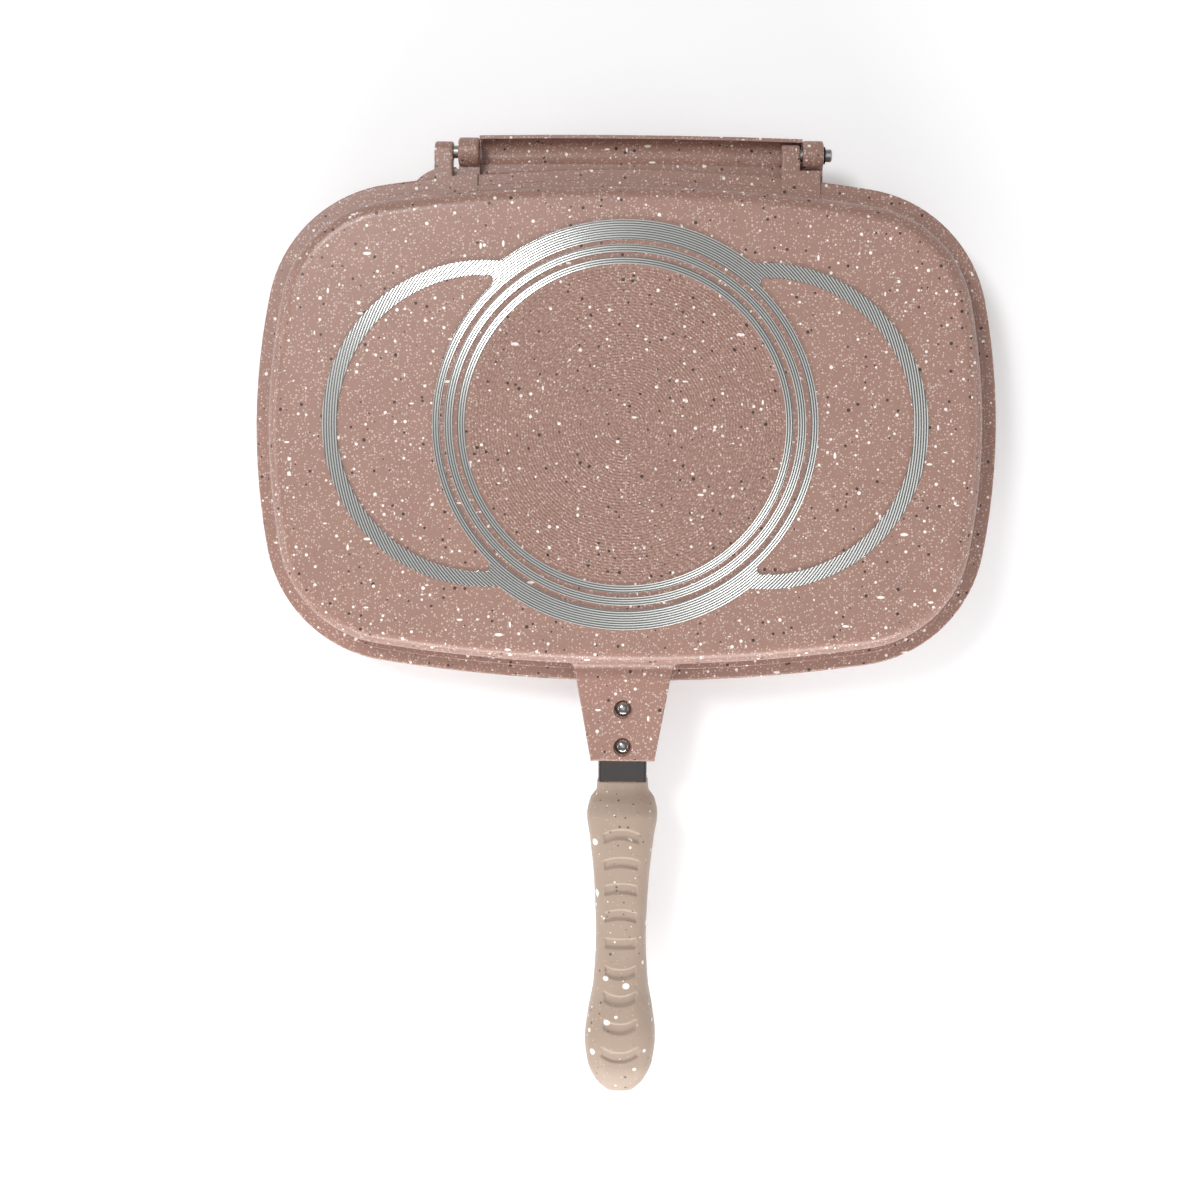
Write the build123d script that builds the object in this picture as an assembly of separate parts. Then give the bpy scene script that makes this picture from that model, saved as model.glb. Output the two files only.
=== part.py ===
from build123d import *
import os
from math import hypot, sqrt

# Double sided flip pan: two cast shells, hinged at the back, each with its own handle.
# Millimetres. +X is right, +Y points to the hinge, +Z is up. The origin is the centre of
# the faced rings under the lower base, on the surface that the pan stands on.
#
# Both shells are built in the same half frame and then placed. In the half frame Z is the
# distance from the parting plane outwards, so the base lies at the top and the rim at the
# bottom. The upper half is lifted into place, the lower half is turned over about Y first.

# --- whole object ---
closed_height = 70.0
rim_gap = 0.3

# --- rim outline, seen from above: eight tangent arcs ---
rim_half_width = 178.9
rim_half_depth = 123.9
side_bow_r = 325.0
front_bow_r = 780.0
corner_r = 67.0

# --- section of a shell ---
flange_width = 5.6
flange_thickness = 3.4
flange_edge_r = 1.0
ledge_width = 2.2
ledge_height = 1.0
ledge_edge_r = 0.4
wall_thickness = 3.2
wall_lean = 4.5
base_thickness = 3.5
shoulder_r = 7.5
inner_shoulder_r = 6.0

# --- faced rings that stand proud of each base ---
pad_height = 0.5
ring_radii = [(74.9, 78.3), (80.5, 84.2)]
outer_band_r = (86.5, 95.6)
loop_band_r = 89.9
loop_centre_x = 65.2
loop_inner_r = 69.2
loop_outer_r = 76.0
loop_corner_r = 3.0

# --- grill ribs on the lower floor ---
rib_width = 3.0
rib_height = 3.0
rib_pitch = 11.0
rib_end_space = 8.0
rib_side_space = 20.0
rib_edge_r = 1.0

# --- disc let into each base, under the coating ---
plate_r = 73.0
plate_thickness = 1.0

# --- hinge ---
hinge_reach = 7.7
pin_r = 3.1
pin_clearance = 0.06
ear_outer_x = 94.0
upper_ear_width = 9.0
lower_ear_width = 10.0
left_ear_gap = 2.5
right_ear_gap = 1.2
upper_knuckle_r = 5.0
lower_knuckle_r = 7.0
knuckle_edge_r = 1.2
foot_clearance = 8.2
outer_foot_length = 21.0
inner_foot_length = 18.6
lug_root_depth = 26.0
toe_x = 104.0
toe_rise = 0.8
toe_thickness = 5.0
toe_flat_end = 3.5
toe_bulge = 1.0
toe_end_inset = 0.5

# --- hinge pins and the ring that holds the right one ---
pin_recess = 0.5
pin_chamfer = 0.6
pin_stub = 4.3
clip_r = 4.2
clip_thickness = 0.9
clip_groove_depth = 0.5
clip_clearance = 0.1

# --- drip gutter behind the hinge, part of the lower shell ---
gutter_r = 6.8
gutter_offset = 0.3
gutter_wall = 1.7
gutter_rise = 1.5
gutter_floor_depth = 4.8
gutter_bow_r = 3100.0
gutter_half_turn = 3.0

# --- rim gasket ---
gasket_inset = 6.2
gasket_width = 3.2
gasket_depth = 2.6
gasket_proud = 0.1
gasket_edge_r = 0.6

# --- handle tab of each shell ---
tab_length = 37.3
tab_root_width = 44.4
tab_end_width = 30.6
tab_height = 12.0
tab_plate = 4.0
tab_edge_r = 1.2
tab_root_r = 7.0
tab_blend_r = 6.0
tab_bar_sink = 2.2
tab_bar_spare = 4.0

# --- steel bracket under the tab ---
bracket_width = 23.2
bracket_gauge = 2.0
bracket_drop = 7.0
bracket_bend_r = 1.2
bracket_clearance = 0.2
bracket_inner_length = 31.0
bracket_bare_length = 10.4
tongue_width = 15.0
tongue_length = 76.0

# --- rivets ---
rivet_setback = 12.4
rivet_spacing = 18.1
rivet_r = 2.1
rivet_head_r = 3.8
rivet_head_height = 2.0
rivet_tail_r = 3.4
rivet_tail_height = 1.4
counterbore_r = 4.5
counterbore_depth = 2.3

# --- grip: distance from its front end, half width, height above its flat face ---
grip_stations = [
    (0.0, 12.2, 9.0),
    (5.0, 12.6, 9.6),
    (10.0, 15.6, 12.4),
    (16.5, 17.0, 14.0),
    (28.0, 15.4, 14.0),
    (50.0, 13.1, 13.2),
    (76.0, 12.1, 12.8),
    (98.0, 13.2, 13.6),
    (112.0, 15.6, 14.8),
    (124.0, 17.0, 15.4),
    (135.0, 15.7, 14.6),
    (143.0, 12.2, 12.2),
    (148.2, 7.4, 8.6),
    (150.3, 3.6, 5.4),
]
# points of the arched section, as shares of the half width and of the height
grip_arch = [(1.0, 0.37), (0.78, 0.87)]
grip_trim = 2.0
grip_edge_r = 0.4

# --- thumb grooves in a grip: distance from its front end, half width, arch ---
groove_stations = [
    (24.0, 8.5, 2.4),
    (37.5, 8.1, 1.5),
    (50.1, 7.7, 1.3),
    (62.7, 7.4, 1.6),
    (76.8, 7.2, -0.3),
    (91.4, 7.3, -2.0),
    (103.9, 7.6, -2.3),
    (116.9, 7.8, -2.5),
    (130.5, 8.7, -3.0),
]
groove_length = 4.6
groove_depth = 0.7
groove_root_z = 9.0

# --- grip screws ---
screw_first = 22.0
screw_spacing = 40.0
screw_r = 1.5
screw_head_r = 3.0
screw_head_height = 2.2
screw_head_clearance = 0.3
screw_head_sink = 0.5
screw_slot_width = 1.0
screw_slot_depth = 1.0

# --- closing magnets in their cups ---
magnet_setback = 120.0
magnet_r = 6.0
magnet_thickness = 3.5
cup_wall = 1.0

# --- values that follow from the sizes above ---
half_height = closed_height / 2
seat = rim_gap / 2
base_plane = half_height - pad_height
floor_plane = base_plane - base_thickness
wall_inset = flange_width + ledge_width
hinge_y = rim_half_depth + hinge_reach
foot_back_y = hinge_y - foot_clearance
tab_end_y = -rim_half_depth - tab_length
grip_front_y = tab_end_y - bracket_bare_length
bracket_top = tab_height - tab_plate
upper_inner_x = ear_outer_x - lower_ear_width - right_ear_gap - upper_ear_width
lower_inner_x = ear_outer_x - upper_ear_width - left_ear_gap - lower_ear_width
inner_foot_x = upper_inner_x + inner_foot_length
magnet_y = grip_front_y - magnet_setback

# --- how far a cut runs past a face, and a length greater than any piece ---
over = 1.0
beyond = 200.0


def corner_centre():
    """Centre of a corner arc that touches the side bow and the front bow."""
    side_x = rim_half_width - side_bow_r
    front_y = rim_half_depth - front_bow_r
    side_d = side_bow_r - corner_r
    front_d = front_bow_r - corner_r
    span = hypot(side_x, front_y)
    along = (side_d**2 - front_d**2 + span**2) / (2 * span)
    across = sqrt(side_d**2 - along**2)
    unit = Vector(-side_x, front_y) / span
    return Vector(side_x, 0) + unit * along + Vector(-unit.Y, unit.X) * across


def outline(inset, z):
    """Face inside the rim outline moved inwards by inset, at height z."""
    side = Vector(rim_half_width - side_bow_r, 0)
    front = Vector(0, rim_half_depth - front_bow_r)
    corner = corner_centre()
    to_side = (corner - side).normalized()
    to_front = (corner - front).normalized()
    side_mid = Vector(rim_half_width - inset, 0)
    side_end = side + to_side * (side_bow_r - inset)
    corner_mid = corner + (to_side + to_front).normalized() * (corner_r - inset)
    front_end = front + to_front * (front_bow_r - inset)
    front_mid = Vector(0, rim_half_depth - inset)

    def at(point, sx, sy):
        return (point.X * sx, point.Y * sy, z)

    arcs = []
    for sx, sy in [(1, 1), (-1, 1), (-1, -1), (1, -1)]:
        first, last = (side_end, front_end) if sx * sy > 0 else (front_end, side_end)
        arcs.append(ThreePointArc(at(first, sx, sy), at(corner_mid, sx, sy), at(last, sx, sy)))
        if sx * sy > 0:
            ends = [at(front_end, sx, sy), at(front_mid, sx, sy), at(front_end, -sx, sy)]
        else:
            ends = [at(side_end, sx, sy), at(side_mid, sx, sy), at(side_end, sx, -sy)]
        arcs.append(ThreePointArc(*ends))
    return Face(Wire(arcs))


def rim_edge_y(x):
    """Distance of the rim's back edge from the centre line, at x."""
    return rim_half_depth - front_bow_r + sqrt(front_bow_r**2 - x**2)


def lean_at(z):
    """How far the wall has leaned in at height z."""
    return wall_lean * (z - seat) / (base_plane - seat)


def edges_at(shape, z):
    return shape.edges().filter_by_position(Axis.Z, z - 0.01, z + 0.01)


def block(x0, x1, y0, y1, z0, z1):
    """Box between two corners."""
    return Pos(x0, y0, z0) * Box(x1 - x0, y1 - y0, z1 - z0, align=(Align.MIN, Align.MIN, Align.MIN))


def disc(radius, x, y, z0, z1):
    """Upright cylinder between two heights."""
    return Pos(x, y, z0) * Cylinder(radius, z1 - z0, align=(Align.CENTER, Align.CENTER, Align.MIN))


def rod(radius, x0, x1):
    """Cylinder on the hinge axis between two x values."""
    return Pos((x0 + x1) / 2, hinge_y, 0) * Rot(0, 90, 0) * Cylinder(radius, x1 - x0)


# --- the shell ---
def bowl():
    """Flange, ledge and leaning wall with a rounded shoulder, still solid inside."""
    wall = loft([outline(wall_inset, seat), outline(wall_inset + wall_lean, base_plane)], ruled=True)
    wall = fillet(edges_at(wall, base_plane), shoulder_r)
    flange_top = seat + flange_thickness
    flange = extrude(outline(0, seat), flange_thickness)
    flange = fillet(edges_at(flange, flange_top), flange_edge_r)
    ledge = extrude(outline(flange_width, seat), flange_thickness + ledge_height)
    ledge = fillet(edges_at(ledge, flange_top + ledge_height), ledge_edge_r)
    return wall + flange + ledge


def cavity():
    """Cooking space of a shell, open through the rim."""
    mouth = seat - over
    inset = wall_inset + wall_thickness
    space = loft(
        [outline(inset + lean_at(mouth), mouth), outline(inset + lean_at(floor_plane), floor_plane)],
        ruled=True,
    )
    return fillet(edges_at(space, floor_plane), inner_shoulder_r)


def ring_pads():
    """Faced rings: two thin rings, a wide band and a loop on each side."""
    pads = Sketch()
    for inner_r, outer_r in ring_radii:
        pads += Circle(outer_r) - Circle(inner_r)
    band_in, band_out = outer_band_r
    band = Circle(band_out)
    for side in (-1, 1):
        band += Pos(side * loop_centre_x, 0) * Circle(loop_outer_r)
    for side in (-1, 1):
        opening = Pos(side * loop_centre_x, 0) * Circle(loop_inner_r) - Circle(loop_band_r)
        band -= fillet(opening.vertices(), loop_corner_r)
    band -= Circle(band_in)
    pads += band
    return Pos(0, 0, base_plane) * extrude(pads, pad_height)


def grill_ribs():
    """Straight ribs along the floor, each as long as the floor allows, as many as fit."""
    inset = wall_inset + wall_thickness + wall_lean + rib_end_space
    rib_top = floor_plane - rib_height
    field = extrude(outline(inset, rib_top), rib_height)
    field = fillet(edges_at(field, rib_top), rib_edge_r)
    per_side = int((rim_half_width - inset - rib_side_space) / rib_pitch)
    ribs = Part()
    for index in range(-per_side, per_side + 1):
        x = index * rib_pitch
        bar = block(x - rib_width / 2, x + rib_width / 2, -beyond, beyond, rib_top, floor_plane)
        ribs += field & fillet(edges_at(bar, rib_top).filter_by(Axis.Y), rib_edge_r)
    return ribs


# --- hinge ears ---
def ear(x0, width, knuckle_r):
    """Knuckle round the hinge axis, on a leg that runs into the wall."""
    leg_length = hinge_reach + lug_root_depth
    leg = Pos(hinge_y - leg_length / 2, (seat + knuckle_r) / 2) * Rectangle(leg_length, knuckle_r - seat)
    profile = Pos(hinge_y, 0) * Circle(knuckle_r) + leg
    solid = Pos(x0, 0, 0) * extrude(Plane.YZ * profile, width)
    round_edges = solid.edges().filter_by(GeomType.CIRCLE)
    return fillet(round_edges, knuckle_edge_r)


def foot(x0, x1, thickness):
    """Thick part of the rim beside an ear."""
    return block(x0, x1, rim_half_depth - lug_root_depth, foot_back_y, seat, thickness)


def flush_foot(x0, x1, thickness):
    """A foot that ends at the rim's edge."""
    return foot(x0, x1, thickness) & extrude(outline(0, seat), thickness)


def hinge_lugs(width, inner_x, knuckle_r):
    """The two L-shaped ears of one half, before they are bored."""
    lugs = ear(-ear_outer_x, width, knuckle_r)
    lugs += flush_foot(-ear_outer_x, -ear_outer_x + outer_foot_length, knuckle_r)
    lugs += ear(inner_x, width, knuckle_r)
    return lugs + foot(inner_x, inner_foot_x, knuckle_r)


def lug_toe():
    """Rounded end of the lower lug, which shows beside the upper left ear."""
    x0 = ear_outer_x - lower_ear_width
    top_y = foot_back_y + toe_rise
    root_y = rim_half_depth - lug_root_depth
    tip = (toe_x, rim_edge_y(toe_x) - toe_end_inset)
    shoulder = (ear_outer_x - toe_flat_end, top_y)
    middle = ((tip[0] + shoulder[0]) / 2 + toe_bulge, (tip[1] + shoulder[1]) / 2 + toe_bulge)
    edge = [
        Line((x0, root_y), (x0, top_y)),
        Line((x0, top_y), shoulder),
        ThreePointArc(shoulder, middle, tip),
        Line(tip, (toe_x, root_y)),
        Line((toe_x, root_y), (x0, root_y)),
    ]
    return Pos(0, 0, seat) * extrude(make_face(edge), toe_thickness, dir=(0, 0, 1))


def gutter(x0, x1):
    """Half-round trough behind the rim, open to it, swept on a shallow bow."""
    outer_r = gutter_r + gutter_wall
    centre_y = hinge_y + gutter_offset
    root_y = rim_half_depth - lug_root_depth
    web_length = centre_y - root_y
    web_z = (gutter_floor_depth + outer_r) / 2
    web = Pos(root_y + web_length / 2, web_z) * Rectangle(web_length, outer_r - gutter_floor_depth)
    back = Pos(centre_y + outer_r / 2, -gutter_rise / 2) * Rectangle(outer_r, gutter_rise)
    below = Pos(centre_y, beyond / 2) * Rectangle(beyond, beyond)
    section = (Pos(centre_y, 0) * Circle(outer_r) & below) + back
    section -= Pos(centre_y - beyond / 2, 0) * Rectangle(beyond, 2 * gutter_floor_depth)
    section = section + web - Pos(centre_y, 0) * Circle(gutter_r)
    section -= Pos(centre_y, -beyond / 2) * Rectangle(2 * gutter_r, beyond)
    axis = Axis((0, centre_y + outer_r - gutter_bow_r, 0), (0, 0, 1))
    start = (Plane.YZ * section).rotate(axis, -gutter_half_turn)
    trough = revolve(start, axis, 2 * gutter_half_turn)
    return trough & block(x0, x1, 0, beyond, -beyond, beyond)


# --- handle tab ---
def tab_plan(root_y, bar_front_y):
    """Tapered tab from beyond, with rounded roots that run into the front wall."""
    taper = (tab_root_width - tab_end_width) / 2 / tab_length
    root_half = tab_root_width / 2 + taper * (root_y + rim_half_depth)
    end_half = tab_end_width / 2
    corners = [(-root_half, root_y), (-end_half, tab_end_y), (end_half, tab_end_y), (root_half, root_y)]
    bar_half = root_half + tab_root_r + tab_bar_spare
    bar = Rectangle(2 * bar_half, root_y - bar_front_y)
    plan = make_face(Polyline(*corners, close=True)) + Pos(0, (bar_front_y + root_y) / 2) * bar
    roots = plan.vertices().filter_by_position(Axis.Y, bar_front_y - 0.01, bar_front_y + 0.01)
    return fillet(roots.sort_by(Axis.X)[1:-1], tab_root_r)


def tab():
    """Handle tab whose top runs up the front wall in a hollow curve."""
    root_y = -rim_half_depth + wall_inset + wall_thickness + wall_lean
    bar_front_y = -rim_half_depth + wall_inset + lean_at(tab_height) + tab_bar_sink
    top = tab_height + tab_blend_r
    plate = Rectangle(root_y - tab_end_y, tab_height - seat)
    bar = Rectangle(root_y - bar_front_y + tab_blend_r, top - seat)
    profile = Pos((root_y + tab_end_y) / 2, (tab_height + seat) / 2) * plate
    profile += Pos((root_y + bar_front_y - tab_blend_r) / 2, (top + seat) / 2) * bar
    profile -= Pos(bar_front_y - tab_blend_r, top) * Circle(tab_blend_r)
    body = Pos(-beyond, 0, 0) * extrude(Plane.YZ * profile, 2 * beyond)
    body &= Pos(0, 0, seat) * extrude(tab_plan(root_y, bar_front_y), top)
    rims = body.edges().filter_by(lambda e: e.bounding_box().min.Z > tab_height - 0.01)
    rims = rims.filter_by_position(Axis.Y, tab_end_y - over, bar_front_y - 0.05)
    inner = rims.filter_by_position(Axis.Y, tab_end_y + over, bar_front_y).filter_by(Axis.X)
    return fillet([e for e in rims if e not in inner], tab_edge_r)


def tab_hollow():
    """Room for the bracket, open at the parting plane and at the tab's end."""
    half = bracket_width / 2 + bracket_clearance
    inner_y = tab_end_y + bracket_inner_length + bracket_clearance
    return block(-half, half, tab_end_y - over, inner_y, seat - over, bracket_top)


def rivet_ys():
    near_y = -rim_half_depth - rivet_setback
    return [near_y, near_y - rivet_spacing]


def rivet_holes():
    holes = Part()
    for y in rivet_ys():
        holes += disc(rivet_r, 0, y, bracket_top - over, tab_height)
        holes += disc(counterbore_r, 0, y, tab_height - counterbore_depth, tab_height + over)
    return holes


# --- one half, from its pieces ---
def shell(lugs):
    """Cast shell with its tab and the given ears, bored and hollowed."""
    body = bowl() + tab() + lugs
    body -= cavity()
    body -= tab_hollow()
    body -= rivet_holes()
    body -= rod(pin_r + pin_clearance, -ear_outer_x - over, ear_outer_x + over)
    body -= disc(plate_r, 0, 0, base_plane - plate_thickness, base_plane + over)
    return body + ring_pads()


def upper_shell():
    return shell(hinge_lugs(upper_ear_width, upper_inner_x, upper_knuckle_r))


def lower_shell():
    lugs = hinge_lugs(lower_ear_width, lower_inner_x, lower_knuckle_r) + lug_toe()
    lugs += gutter(-ear_outer_x + lower_ear_width, lower_inner_x)
    return shell(lugs) + grill_ribs() - gasket_ring(seat - over, seat + gasket_depth)


def gasket_ring(z0, z1):
    outer = extrude(outline(gasket_inset, z0), z1 - z0)
    inner = extrude(outline(gasket_inset + gasket_width, z0), z1 - z0)
    return outer - inner


def gasket():
    top = seat - gasket_proud
    return fillet(edges_at(gasket_ring(top, seat + gasket_depth), top), gasket_edge_r)


def induction_plate():
    return disc(plate_r, 0, 0, base_plane - plate_thickness, base_plane)


# --- handle pieces ---
def bracket():
    """Steel channel under the tab, with a flat tongue that goes into the grip."""
    half = bracket_width / 2
    inner_y = tab_end_y + bracket_inner_length
    low = bracket_top - bracket_drop
    channel = block(-half, half, grip_front_y, inner_y, low, bracket_top)
    bends = channel.edges().filter_by(Axis.Y).group_by(Axis.Z)[-1]
    channel = fillet(bends, bracket_bend_r)
    inside = half - bracket_gauge
    channel -= block(-inside, inside, grip_front_y, inner_y, low, bracket_top - bracket_gauge)
    tongue_end_y = grip_front_y - tongue_length
    half_tongue = tongue_width / 2
    tongue = block(
        -half_tongue, half_tongue, tongue_end_y, grip_front_y, bracket_top - bracket_gauge, bracket_top
    )
    body = channel + tongue
    for y in rivet_ys():
        body -= disc(rivet_r, 0, y, low, beyond)
    for y in screw_ys():
        body -= disc(screw_r, 0, y, low, beyond)
    return body


def rivets():
    """Two rivets: a domed head in the tab, a shank, and a flat tail under the bracket."""
    group = []
    head_z = tab_height - counterbore_depth
    tail_z = bracket_top - bracket_gauge
    dome_r = (rivet_head_r**2 + rivet_head_height**2) / (2 * rivet_head_height)
    for y in rivet_ys():
        dome = Pos(0, y, head_z + rivet_head_height - dome_r) * Sphere(dome_r)
        head = dome & disc(rivet_head_r, 0, y, head_z, tab_height)
        shank = disc(rivet_r, 0, y, tail_z, head_z)
        tail = disc(rivet_tail_r, 0, y, tail_z - rivet_tail_height, tail_z)
        group.append(head + shank + tail)
    return Compound(children=group)


def grip_section(distance, half_width, height):
    """D-shaped section: it starts a little below the flat face and arches over."""
    y = grip_front_y - distance
    low = seat - grip_trim
    side = [(half_width * across, y, height * up) for across, up in grip_arch]
    right = [(half_width, y, low), *side]
    left = [(-x, y, z) for x, y, z in reversed(right)]
    arch = Spline(*right, (0, y, height), *left, tangents=[(0, 0, 1), (0, 0, -1)])
    return Face(Wire([arch, Line(left[-1], right[0])]))


def screw_ys():
    first_y = grip_front_y - screw_first
    return [first_y, first_y - screw_spacing]


def grip_skin():
    return loft([grip_section(*station) for station in grip_stations])


def thumb_grooves():
    """Arched shallow grooves across the top of the grip, whose floors follow its skin."""
    bars = Part()
    floor = Pos(0, 0, -groove_depth) * grip_skin()
    for distance, half_width, arch in groove_stations:
        front_y = grip_front_y - distance + groove_length / 2
        back_y = front_y - groove_length
        ends = [(-half_width, front_y - arch), (-half_width, back_y - arch)]
        far_ends = [(half_width, back_y - arch), (half_width, front_y - arch)]
        edge = [
            Line(*ends),
            ThreePointArc(ends[1], (0, back_y), far_ends[0]),
            Line(*far_ends),
            ThreePointArc(far_ends[1], (0, front_y), ends[0]),
        ]
        bars += Pos(0, 0, groove_root_z) * extrude(make_face(edge), beyond, dir=(0, 0, 1))
    return bars - floor


def grip():
    """Moulded half grip, with a slot for the tongue and pockets for its fittings."""
    body = grip_skin() - thumb_grooves()
    last = grip_stations[-1][0]
    body &= block(-beyond, beyond, grip_front_y - last - over, grip_front_y, seat, beyond)
    body = fillet(edges_at(body, seat), grip_edge_r)
    half_tongue = tongue_width / 2
    slot_low = bracket_top - bracket_gauge
    slot_end_y = grip_front_y - tongue_length
    body -= block(-half_tongue, half_tongue, slot_end_y, grip_front_y + over, slot_low, bracket_top)
    head_room = screw_head_sink + screw_head_height
    for y in screw_ys():
        body -= disc(screw_r, 0, y, seat, bracket_top)
        body -= disc(screw_head_r + screw_head_clearance, 0, y, seat - over, seat + head_room)
    cup_depth = magnet_thickness + cup_wall
    return body - disc(magnet_r + cup_wall, 0, magnet_y, seat - over, seat + cup_depth)


def screws():
    """Two slotted cheese-head screws up into the tongue."""
    group = []
    head_low = seat + screw_head_sink
    head_high = head_low + screw_head_height
    for y in screw_ys():
        screw = disc(screw_head_r, 0, y, head_low, head_high) + disc(screw_r, 0, y, head_high, bracket_top)
        slot = block(
            -screw_slot_width / 2,
            screw_slot_width / 2,
            y - screw_head_r,
            y + screw_head_r,
            head_low - over,
            head_low + screw_slot_depth,
        )
        group.append(screw - slot)
    return Compound(children=group)


def magnet():
    return disc(magnet_r, 0, magnet_y, seat, seat + magnet_thickness)


def magnet_cup():
    depth = magnet_thickness + cup_wall
    outer = disc(magnet_r + cup_wall, 0, magnet_y, seat, seat + depth)
    return outer - disc(magnet_r, 0, magnet_y, seat - over, seat + magnet_thickness)


# --- hinge pins ---
def left_pin():
    """Pin through both left ears, a little short of the outer face."""
    return chamfer(rod(pin_r, -ear_outer_x + pin_recess, -lower_inner_x).edges(), pin_chamfer)


def right_pin():
    """Pin through both right ears, with a grooved end outside the lower ear."""
    pin = rod(pin_r, upper_inner_x + pin_recess, ear_outer_x + pin_stub)
    return chamfer(pin.edges(), pin_chamfer) - pin_clip()


def pin_clip():
    """Ring in the right pin's groove, just outside the lower ear."""
    x0 = ear_outer_x + clip_clearance
    ring = rod(clip_r, x0, x0 + clip_thickness)
    return ring - rod(pin_r - clip_groove_depth, x0, x0 + clip_thickness)


# --- placing and writing ---
def as_upper(shape):
    return Pos(0, 0, half_height) * shape


def as_lower(shape):
    return Pos(0, 0, half_height) * Rot(0, 180, 0) * shape


def save(name, shape):
    export_step(shape, os.path.join("parts", name + ".step"))


def main():
    os.makedirs("parts", exist_ok=True)
    save("upper_pan", as_upper(upper_shell()))
    save("lower_pan", as_lower(lower_shell()))
    save("rim_gasket", as_lower(gasket()))
    save("hinge_pin_left", as_upper(left_pin()))
    save("hinge_pin_right", as_upper(right_pin()))
    save("hinge_pin_clip", as_upper(pin_clip()))
    for side, place in [("upper", as_upper), ("lower", as_lower)]:
        save(f"{side}_induction_plate", place(induction_plate()))
        save(f"{side}_handle_bracket", place(bracket()))
        save(f"{side}_bracket_rivets", place(rivets()))
        save(f"{side}_grip", place(grip()))
        save(f"{side}_grip_screws", place(screws()))
        save(f"{side}_grip_magnet", place(magnet()))
        save(f"{side}_magnet_cup", place(magnet_cup()))


main()
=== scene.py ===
# %% [markdown]
# # A double sided flip pan
# This pan is two cast shells that close on each other like a book. The shapes that carry load
# and that move come packed from the CAD model. This file dresses them: it gives each part its
# finish, adds the fine detail that the photograph shows, and lights it like the photograph.

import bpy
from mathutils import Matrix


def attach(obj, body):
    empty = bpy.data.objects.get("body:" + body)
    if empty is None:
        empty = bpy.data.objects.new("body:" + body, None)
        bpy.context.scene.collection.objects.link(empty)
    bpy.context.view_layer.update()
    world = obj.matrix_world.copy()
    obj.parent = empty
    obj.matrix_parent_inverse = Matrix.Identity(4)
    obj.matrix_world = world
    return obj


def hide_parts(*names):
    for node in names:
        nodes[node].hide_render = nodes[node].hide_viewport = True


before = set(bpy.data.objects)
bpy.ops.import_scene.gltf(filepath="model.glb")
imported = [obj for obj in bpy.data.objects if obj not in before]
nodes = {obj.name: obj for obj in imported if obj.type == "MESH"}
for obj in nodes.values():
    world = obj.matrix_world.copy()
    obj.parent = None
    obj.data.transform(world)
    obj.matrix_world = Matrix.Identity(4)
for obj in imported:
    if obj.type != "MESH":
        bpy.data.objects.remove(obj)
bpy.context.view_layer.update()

# %% Name a millimetre
from math import atan2, cos, hypot, pi, radians, sin, sqrt

import bmesh
import bpy
from mathutils import Vector

MM = 0.001

# %% [markdown]
# ## The camera
# The photograph was taken from straight above, from less than a metre away, and then cropped
# so that the handle fits. A camera that looks straight down with a small lens shift gives the
# same perspective: the far parts shrink towards a point near the hinge side, and not towards
# the middle of the picture. The pan lay turned by a little less than a degree.

# %% Place the camera
PARTING_HEIGHT = 35 * MM
PICTURE_WIDTH = 582.5 * MM
CAMERA_DISTANCE = 850 * MM
SENSOR = 36.0

camera_data = bpy.data.cameras.new("photo_camera")
camera = bpy.data.objects.new("photo_camera", camera_data)
bpy.context.scene.collection.objects.link(camera)
camera.location = (12.0 * MM, 0.0, PARTING_HEIGHT + CAMERA_DISTANCE)
camera.rotation_euler = (0, 0, radians(0.6))
camera_data.sensor_width = SENSOR
camera_data.lens = SENSOR * CAMERA_DISTANCE / PICTURE_WIDTH
camera_data.shift_x = -0.0425
camera_data.shift_y = -0.1458
camera_data.clip_start = 0.02
bpy.context.scene.camera = camera
print("focal length:", round(camera_data.lens, 1), "mm")

# %% [markdown]
# ## Building materials from nodes
# Every finish here is worked out from the piece's own Object coordinates, in metres, so a
# pattern has its real size and runs on over all sides of a casting. A short helper that adds a
# node, sets its values and links its inputs keeps the recipes readable.

# %% A helper that adds one node
def add(tree, kind, inputs=None, **settings):
    """Add a node. An input may be a plain value or another node's output socket."""
    node = tree.nodes.new(kind)
    for name, value in settings.items():
        setattr(node, name, value)
    for key, value in (inputs or {}).items():
        if isinstance(value, bpy.types.NodeSocket):
            tree.links.new(value, node.inputs[key])
        else:
            node.inputs[key].default_value = value
    return node


def new_finish(name):
    """A material with only a surface shader and its output."""
    material = bpy.data.materials.new(name)
    material.use_nodes = True
    tree = material.node_tree
    tree.nodes.clear()
    shader = add(tree, "ShaderNodeBsdfPrincipled")
    add(tree, "ShaderNodeOutputMaterial", {"Surface": shader.outputs[0]})
    return material, tree, shader


def mixed(tree, factor, first, second):
    """Mix two colours, each a value or a socket."""
    mix = add(tree, "ShaderNodeMix", {"Factor": factor}, data_type="RGBA")
    for socket, value in ((mix.inputs[6], first), (mix.inputs[7], second)):
        if isinstance(value, bpy.types.NodeSocket):
            tree.links.new(value, socket)
        else:
            socket.default_value = value
    return mix.outputs[2]


def math(tree, operation, first, second=0.0, clamp=False):
    """One step of arithmetic on numbers or sockets."""
    inputs = {0: first, 1: second}
    return add(tree, "ShaderNodeMath", inputs, operation=operation, use_clamp=clamp).outputs[0]


print("helpers ready")

# %% [markdown]
# ## The speckled stone coating
# The real coating is sprayed in layers: a pinkish taupe ground, a fine pale mist, a few white
# flakes and fewer black ones. A picture of it would show seams on a casting with walls and
# lugs, so the specks are cut from space instead: a Voronoi texture scatters points through the
# piece, and wherever a point lies close enough under the surface, a speck shows.

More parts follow.
